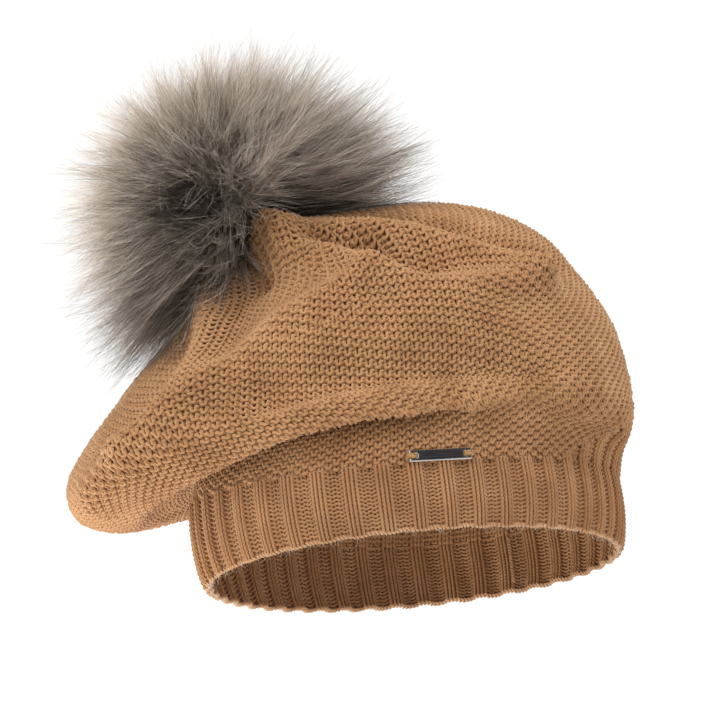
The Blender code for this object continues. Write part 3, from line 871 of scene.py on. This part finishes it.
def make_band(rng):
    knit_pieces("rib_knit", band_yarn(BAND, rng), RIB_YARN_RADIUS, CAMEL, "rib_knit")
    # the cast-off edge's yarn is painted paler than the knit: a painted highlight along the brim's edge
    knit_pieces("brim_edge", brim_yarn(BAND), RIB_YARN_RADIUS, PAINTED_HIGHLIGHT_EDGE, "rib_knit")
    core = make_core("rib_knit_core", BAND, BAND_CORE_LEVELS, BAND_CORE_STEP,
                     lambda share, place: RIB_DEPTH * rib_wave(place), "rib_knit", "rib_band")
    float(BAND.girth(BAND_LEVELS / 2))


# Pom

def to_world(points):
    return points @ SNAP_TURN.T + np.array(SNAP_POINT)


def polar(angle, azimuth):
    return np.stack([np.sin(angle) * np.cos(azimuth), np.sin(angle) * np.sin(azimuth), np.cos(angle)], -1)


def turned_from(azimuth, other):
    """The turn from another azimuth, between minus and plus half a turn."""
    return (azimuth - other + math.pi) % FULL_TURN - math.pi


def crown_rise():
    """Height of the crown under the pom, along the snap's axis, on a square grid of cells about that axis."""
    local = (CROWN.points.reshape(-1, 3) - np.array(SNAP_POINT)) @ SNAP_TURN
    near = local[np.hypot(local[:, 0], local[:, 1]) < RISE_REACH]
    cell = np.floor((near[:, :2] + RISE_REACH) / RISE_CELL).astype(int)
    count = int(2 * RISE_REACH / RISE_CELL) + 1
    rise = np.full((count, count), -RISE_REACH)
    np.maximum.at(rise, (cell[:, 0], cell[:, 1]), near[:, 2])
    return rise


def round_rise(rise):
    """The crown's highest point at each distance from the snap's axis, which spinning hairs clear."""
    centre = (np.arange(len(rise)) + 0.5) * RISE_CELL - RISE_REACH
    ring = (np.hypot(centre[:, None], centre[None, :]) / RISE_CELL).astype(int)
    highest = np.full(ring.max() + 1, -RISE_REACH)
    np.maximum.at(highest, ring.ravel(), rise.ravel())
    return highest[ring]


def rest_on_crown(path, rise, gap):
    """Lifts the points of the hairs that would lie inside the crown."""
    cell = np.floor((path[..., :2] + RISE_REACH) / RISE_CELL).astype(int)
    cell = np.clip(cell, 0, len(rise) - 1)
    path[..., 2] = np.maximum(path[..., 2], rise[cell[..., 0], cell[..., 1]] + gap)


def hair_paths(rng, tip, root, bend, hairs_each, short, long, tip_wide):
    """Hairs in tufts: each tuft's middle runs from root over bend to tip."""
    tufts = len(tip)
    hairs = tufts * hairs_each
    which = np.repeat(np.arange(tufts), hairs_each)
    at = np.linspace(0.0, 1.0, HAIR_STEPS)[None, :, None] * rng.uniform(short, long, (hairs, 1, 1))
    start, middle, end = root[which][:, None], bend[which][:, None], tip[which][:, None]
    path = (1 - at) ** 2 * start + 2 * at * (1 - at) * middle + at ** 2 * end
    spread = tip_wide * rng.uniform(*TUFT_WIDTHS, tufts)[which][:, None, None]
    path = path + rng.normal(0.0, ROOT_WIDTH, (hairs, 1, 3)) * (1 - at) ** 2
    path = path + rng.normal(0.0, 1.0, (hairs, 1, 3)) * spread * at ** TUFT_OPENING
    wave = rng.normal(0.0, HAIR_WAVE, (hairs, 1, 3))
    path = path + wave * np.sin(at * rng.uniform(*HAIR_WAVES, (hairs, 1, 1)))
    tips = path[:, -1:] - POM_CENTRE
    height = tips @ SNAP_TURN[2][:, None]
    reach = np.maximum(np.linalg.norm(tips, axis=-1, keepdims=True) / HAIR_LIMIT, height / HAIR_LIMIT_UP)
    held = np.minimum(1.0, rng.uniform(*HAIR_HELD, reach.shape) / np.maximum(reach, 0.1))
    return POM_CENTRE + (path - POM_CENTRE) * held, which


def coat_tufts(rng, tufts, first, last):
    """Tufts over the ball, with tips from the polar angle first to last about the pom's middle."""
    count = np.arange(tufts)
    high, low = np.cos(np.radians((first, last)))
    tip_angle = np.arccos(high + (low - high) * (count + 0.5) / tufts)
    azimuth = count * math.pi * (3.0 - math.sqrt(5.0)) + rng.normal(0.0, 0.05, tufts)
    beside = np.abs(turned_from(azimuth, FRONT)) / FRONT_REACH
    tip_angle = tip_angle - FRONT_LIFT * np.exp(-beside ** 4) * (tip_angle / math.radians(last)) ** 3
    reach = 1.0 + TUFT_REACH * rng.standard_normal(tufts).clip(TUFT_SHORTEST, TUFT_LONGEST)
    tip = POM_CENTRE + polar(tip_angle, azimuth) * (POM_RADIUS * reach)[:, None]
    tip = tip + rng.normal(0.0, TIP_STRAY, (tufts, 3))
    out = polar(np.minimum(tip_angle * ROOT_FAN, ROOT_LOWEST), azimuth)
    root = BALL_CENTRE + out * (BALL_RADIUS - ROOT_DEPTH)
    bend = root + out * BEND_OUT * np.linalg.norm(tip - root, axis=1, keepdims=True)
    # painted light: tufts pointing up are made paler and those pointing down darker; the cloud and the dark
    # tufts are the fur's own tone
    patch = TOP_PAINTED_LIGHT * np.cos(tip_angle) + CLOUD_TONE * np.sin(3 * azimuth + 2.0) * np.sin(4 * tip_angle)
    for facing, tip_at, width, depth in DARK_TUFTS:
        beside = turned_from(azimuth, math.radians(facing))
        away = np.hypot(beside, tip_angle - math.radians(tip_at)) / math.radians(width)
        patch = patch - depth * np.exp(-away ** 2)
    return tip, root, bend, patch


def fur_paths(rng):
    """Hairs about the snap's axis: an undercoat, long guard hairs and the low hairs that lie on the crown."""
    rise = crown_rise()
    found = []
    for name, tufts, first, last, hairs, short, long, shade, thick, tip_wide, root_tone in FUR_COATS:
        tip, root, bend, patch = coat_tufts(rng, tufts, first, last)
        path, which = hair_paths(rng, tip, root, bend, hairs, short, long, tip_wide * MM)
        if name == "fur_skirt":
            rest_on_crown(path, rise, LIE_GAP)
        else:
            rest_on_crown(path, round_rise(rise), SPIN_GAP)
        tone = shade + (patch + TUFT_TONE * rng.standard_normal(tufts))[which]
        tone = tone + HAIR_TONE * rng.standard_normal(len(path))
        radius = HAIR_RADIUS * thick * rng.uniform(*HAIR_THICKNESS, len(path))
        found.append((name, path, radius, np.clip(tone, 0.0, 1.0), root_tone))
    return found


def make_fur(rng):
    step = np.linspace(0.0, 1.0, HAIR_STEPS)
    taper = 1.0 - TIP_TAPER * step ** 1.5
    for name, paths, thick, shade, root_tone in fur_paths(rng):
        paths = to_world(paths)
        order = rng.permutation(len(paths))
        for part, chosen in enumerate(np.array_split(order, -(-len(paths) // HAIRS_PER_PIECE))):
            facing = np.zeros((len(chosen), HAIR_STEPS, 3)) + unit(rng.standard_normal((len(chosen), 1, 3)))
            radius = taper * thick[chosen][:, None]
            points, quads = tubes(paths[chosen], facing, radius, HAIR_SIDES, closed=False)
            piece = mesh_object(f"{name}_{part + 1:02d}", points, quads, FUR)
            along = np.tile(np.repeat(root_tone + (1.0 - root_tone) * step, HAIR_SIDES), len(chosen))
            tint = np.repeat(shade[chosen], HAIR_STEPS * HAIR_SIDES)
            for label, values in (("along", along), ("shade", tint)):
                layer = piece.data.attributes.new(label, "FLOAT", "POINT")
                layer.data.foreach_set("value", values.astype(np.float32))
            belongs(piece, "pom_socket" if name == "fur_skirt" else "pom", "fur")


def make_filling():
    """The stuffed ball that the fur's backing cloth is drawn round."""
    angle = np.linspace(BALL_POLE, math.pi - BALL_POLE, BALL_ROWS)[:, None] + np.zeros((1, BALL_COLUMNS))
    azimuth = FULL_TURN * np.arange(BALL_COLUMNS)[None, :] / BALL_COLUMNS + np.zeros((BALL_ROWS, 1))
    wrinkle = 1.0 + 0.03 * np.sin(9 * azimuth) * np.sin(angle) ** 2 + 0.02 * np.cos(5 * angle + 3 * azimuth)
    points = BALL_CENTRE + polar(angle, azimuth) * (BALL_RADIUS * wrinkle)[..., None]
    world = to_world(points[::-1].reshape(-1, 3))
    made = mesh_object("pom_backing_ball", world, grid_quads(BALL_ROWS, BALL_COLUMNS, closed=True), BACKING)
    bmesh_close(made)
    belongs(made, "pom", "filling", "pom_filling", "pom_fur_cover")


def bmesh_close(made):
    """Caps the open rings of a mesh."""
    shape = bmesh.new()
    shape.from_mesh(made.data)
    rims = [edge for edge in shape.edges if edge.is_boundary]
    bmesh.ops.holes_fill(shape, edges=rims, sides=0)
    bmesh.ops.recalc_face_normals(shape, faces=shape.faces)
    shape.to_mesh(made.data)
    shape.free()


# The name plate, its stitches, the lint, the seam and the label

def flat_frame(name):
    """The own frame and the size of a flat CAD node: x along it, y through it, z up its height."""
    cad = frame["nodes"][name]
    points = np.array([cad.matrix_world @ vertex.co for vertex in cad.data.vertices])
    middle = 0.5 * (points.max(axis=0) + points.min(axis=0))
    axes = np.linalg.svd(points - points.mean(axis=0), full_matrices=False)[2]
    along, up = axes[0] * np.sign(axes[0][0]), axes[1] * np.sign(axes[1][2])
    into = np.cross(up, along)
    local = (points - middle) @ np.stack([along, into, up], -1)
    middle = middle + np.stack([along, into, up], -1) @ (0.5 * (local.max(axis=0) + local.min(axis=0)))
    place = Matrix(np.stack([along, into, up], -1).tolist()).to_4x4()
    place.translation = Vector(middle)
    return place, local.max(axis=0) - local.min(axis=0)


def plate_outline(length, height):
    """The plate's outline, with a round-ended notch at each end."""
    corner = [(length / 2, -height / 2), (length / 2, -NOTCH_HEIGHT / 2)]
    round_x, radius = length / 2 - NOTCH_DEPTH, NOTCH_HEIGHT / 2
    for step in range(NOTCH_STEPS + 1):
        turn = math.pi * step / NOTCH_STEPS
        corner.append((round_x - radius * math.sin(turn), -radius * math.cos(turn)))
    corner += [(length / 2, NOTCH_HEIGHT / 2), (length / 2, height / 2)]
    return corner + [(-x, -y) for x, y in corner]


def make_plate():
    place, size = flat_frame("name_plate")
    outline = plate_outline(size[0], size[2])
    shape = bmesh.new()
    front = shape.faces.new([shape.verts.new((x, -size[1] / 2, z)) for x, z in outline])
    grown = bmesh.ops.extrude_face_region(shape, geom=[front])
    for moved in grown["geom"]:
        if isinstance(moved, bmesh.types.BMVert):
            moved.co.y += size[1]
    bmesh.ops.recalc_face_normals(shape, faces=shape.faces)
    face = min(shape.faces, key=lambda found: found.calc_center_median().y)
    bmesh.ops.inset_region(shape, faces=[face], thickness=PLATE_BEVEL, depth=0.0)
    rim = [vertex for vertex in shape.verts if vertex.co.y < 0.0 and vertex not in face.verts]
    for vertex in rim:
        vertex.co.y += PLATE_BEVEL_DROP
    face.material_index = 1
    mesh = bpy.data.meshes.new("plate_blank")
    shape.to_mesh(mesh)
    shape.free()
    mesh.materials.append(NICKEL)
    mesh.materials.append(GUNMETAL)
    made = bpy.data.objects.new("plate_blank", mesh)
    bpy.context.scene.collection.objects.link(made)
    made.matrix_world = place
    belongs(made, "hat", "plate", "name_plate")
    for side, word in ((-1, "left"), (1, "right")):
        make_stitch(place, size, side, word)


def make_stitch(place, size, side, word):
    """A few turns of thread through a notch of the plate, round into the knit."""
    paths = []
    for strand in range(STITCH_STRANDS):
        turn = np.linspace(0.0, FULL_TURN, STITCH_STEPS + 1)[:-1]
        middle_x = side * (size[0] / 2 - NOTCH_DEPTH + STITCH_OUT)
        x = middle_x + STITCH_REACH * np.cos(turn)
        y = STITCH_DEPTH * np.sin(turn) + STITCH_BACK
        z = (strand - (STITCH_STRANDS - 1) / 2) * 2 * STITCH_RADIUS + STITCH_STRAY * np.sin(2 * turn + strand)
        paths.append(np.stack([x, y, z], -1))
    path = np.stack(paths)
    facing = np.zeros_like(path) + np.array((0.0, 0.0, 1.0))
    points, quads = tubes(path, facing, STITCH_RADIUS, 8, closed=True)
    made = mesh_object(f"plate_thread_{word}", points, quads, THREAD)
    made.matrix_world = place
    belongs(made, "hat", "thread", f"plate_stitch_{word}")


def make_lint(rng):
    """Loose fibres along the brim's edge."""
    share = rng.random(LINT)
    station = BAND.station_at(0.0, share)
    point, normal = BAND.sample(np.zeros(LINT), station)
    step = np.linspace(0.0, 1.0, LINT_STEPS)[None, :, None]
    down = np.array((0.0, 0.0, -1.0))
    aim = unit(rng.normal(0.0, LINT_STRAY, (LINT, 3)) + down * LINT_DOWN - normal * LINT_IN)
    length = rng.uniform(*LINT_LENGTHS, LINT)[:, None, None]
    curl = rng.normal(0.0, LINT_CURL, (LINT, 1, 3))
    path = point[:, None] + down * BRIM_CHAIN + aim[:, None] * length * step + curl * step ** 2
    facing = np.zeros_like(path) + unit(rng.standard_normal((LINT, 1, 3)))
    radius = LINT_RADIUS * (1.0 - LINT_TAPER * step[..., 0])
    points, quads = tubes(path, facing, radius, HAIR_SIDES, closed=False)
    made = mesh_object("brim_lint", points, quads, LINT_FIBRE)
    belongs(made, "hat", "rib_knit")


def make_seam():
    """The seam up the inside of the back: two plies of yarn twisted along its CAD node."""
    cad = frame["nodes"]["back_seam_cord"]
    corners = np.array([cad.matrix_world @ vertex.co for vertex in cad.data.vertices])
    low = corners[corners[:, 2] < corners[:, 2].min() + SEAM_PLY].mean(0)
    high = corners[corners[:, 2] > corners[:, 2].max() - SEAM_PLY].mean(0)
    side = unit(np.cross(high - low, low * (1.0, 1.0, 0.0)))
    inward = unit(np.cross(side, high - low))
    share = np.linspace(0.0, 1.0, SEAM_STEPS)[None, :, None]
    turn = FULL_TURN * SEAM_TURNS * share + np.array((0.0, math.pi))[:, None, None]
    path = low + (high - low) * share + SEAM_TWIST * (np.cos(turn) * side + np.sin(turn) * inward)
    points, quads = tubes(path, np.zeros_like(path) + inward, SEAM_PLY, 8, closed=False)
    made = mesh_object("back_seam_yarn", points, quads, SEAM_YARN)
    belongs(made, "hat", "knit", "back_seam_cord")


def make_label():
    """The satin label inside the back: its top edge is sewn flat, its free edge sways."""
    place, size = flat_frame("care_label")
    across, up = np.meshgrid(np.linspace(-0.5, 0.5, LABEL_COLUMNS), np.linspace(-0.5, 0.5, LABEL_ROWS))
    sway = LABEL_SWAY * np.sin(LABEL_WAVES * FULL_TURN * across + 1.0) * (0.5 - up)
    points = np.stack([across * size[0], sway, up * size[2]], -1).reshape(-1, 3)
    made = mesh_object("care_label_cloth", points, grid_quads(LABEL_ROWS, LABEL_COLUMNS, closed=False), LABEL)
    wall = made.modifiers.new("wall", "SOLIDIFY")
    wall.thickness = float(size[1])
    wall.offset = 0.0
    made.matrix_world = place
    belongs(made, "hat", "label", "care_label")


# Small pieces that keep their CAD shape

def finish_cad_nodes():
    finishes = {
        "care_label_stitching": THREAD, "crown_gather_thread": THREAD,
        "snap_backing_disc": FELT, "snap_cap": NICKEL, "snap_stud": NICKEL,
        "snap_socket": NICKEL, "socket_rivet": NICKEL, "pom_base_disc": BACKING, "pom_draw_thread": BACKING,
    }
    for name, finish in finishes.items():
        piece = frame["nodes"][name]
        piece.data.materials.clear()
        piece.data.materials.append(finish)


# Stage

def make_camera():
    ahead = Vector((0.0, math.cos(VIEW_ELEVATION), -math.sin(VIEW_ELEVATION)))
    level_up = Vector((0.0, math.sin(VIEW_ELEVATION), math.cos(VIEW_ELEVATION)))
    level_right = Vector((1.0, 0.0, 0.0))
    right = math.cos(VIEW_ROLL) * level_right - math.sin(VIEW_ROLL) * level_up
    up = math.sin(VIEW_ROLL) * level_right + math.cos(VIEW_ROLL) * level_up
    data = bpy.data.cameras.new("camera")
    data.lens = LENS
    data.clip_end = 20.0
    made = bpy.data.objects.new("camera", data)
    place = Matrix((right, up, -ahead)).transposed().to_4x4()
    place.translation = VIEW_AIM - ahead * VIEW_DISTANCE
    made.matrix_world = place
    bpy.context.scene.collection.objects.link(made)
    bpy.context.scene.camera = made


def area_light(name, place, size, power):
    data = bpy.data.lights.new(name, "AREA")
    data.size = size
    data.energy = power
    made = bpy.data.objects.new(name, data)
    made.location = place
    made.rotation_euler = (VIEW_AIM - Vector(place)).to_track_quat("-Z", "Y").to_euler()
    bpy.context.scene.collection.objects.link(made)


def make_stage():
    world = bpy.data.worlds.new("studio")
    world.use_nodes = True
    background = world.node_tree.nodes["Background"]
    background.inputs["Color"].default_value = (1.0, 1.0, 1.0, 1.0)
    background.inputs["Strength"].default_value = SKY
    bpy.context.scene.world = world
    bpy.context.scene.view_settings.view_transform = "Standard"
    for name, place, size, power in LIGHTS:
        area_light(name, place, size, power)
    floor_z = CAD_BOX[0].z - FLOOR_DROP
    sides = ((-1, -1), (1, -1), (1, 1), (-1, 1))
    corners = np.array([(FLOOR_HALF * x, FLOOR_HALF * y, floor_z) for x, y in sides])
    made, tree, shader = new_material("pale_floor")
    tree.links.new(ramp(tree, noise(tree, 3.0), (0.3, (0.86, 0.86, 0.86)), (0.7, (0.88, 0.88, 0.88))),
                   shader.inputs["Base Color"])
    shader.inputs["Roughness"].default_value = 0.9
    mesh_object("floor", corners, np.array([[0, 1, 2, 3]]), made, smooth=False)


CAMEL = yarn_material("camel_yarn", (0.335, 0.162, 0.066), (0.46, 0.245, 0.110), (0.58, 0.338, 0.170))
# painted highlight: the brim's edge yarn is paler than the camel knit, for the light caught by the edge
PAINTED_HIGHLIGHT_EDGE = yarn_material("brim_yarn", (0.50, 0.28, 0.14), (0.64, 0.39, 0.21), (0.76, 0.52, 0.33))
# painted shade: the core is much darker than the yarn, standing in for the shade deep between the stitches
CORE_PAINTED_SHADE = core_painted_shade_material("knit_core", (0.13, 0.052, 0.020), (0.23, 0.105, 0.046))
SEAM_YARN = cloth_material("camel_seam", (0.29, 0.138, 0.057), (0.43, 0.225, 0.10), 900.0, 0.9)
THREAD = cloth_material("golden_thread", (0.27, 0.135, 0.04), (0.46, 0.26, 0.085), 1500.0, 0.7)
GUNMETAL = metal_material("gunmetal", (0.020, 0.019, 0.019), (0.055, 0.052, 0.052), 0.25,
                          (60.0, 1500.0, 2500.0))
NICKEL = metal_material("nickel", (0.52, 0.51, 0.49), (0.66, 0.65, 0.63), 0.20, (900.0, 900.0, 900.0))
FELT = cloth_material("felt", (0.20, 0.11, 0.055), (0.33, 0.20, 0.11), 1200.0, 0.95)
LABEL = cloth_material("label_satin", (0.72, 0.70, 0.66), (0.84, 0.82, 0.78), 700.0, 0.5)
FUR = fur_material()
LINT_FIBRE = cloth_material("lint", (0.62, 0.47, 0.34), (0.86, 0.76, 0.66), 300.0, 0.9)
# the pom's backing is near-black like the hairs' roots, and the same darkness stands in as painted shade
# under the fur where it shows
BACKING = cloth_material("fur_backing", (0.020, 0.015, 0.012), (0.055, 0.042, 0.034), 500.0, 0.95)

random = np.random.default_rng(SEED)
CROWN = crown_surface()
BAND = band_surface()
# Wales to each side of a sector's middle one.
BAND_HALF = int(round(CROWN.girth(0.0) / SECTORS / (2 * RIB_WALE) - 0.5))
BAND_WALES = SECTORS * (2 * BAND_HALF + 1)
make_camera()
make_stage()
make_crown(random)
make_band(random)
make_lint(random)
make_plate()
make_seam()
make_label()
make_filling()
make_fur(random)
finish_cad_nodes()
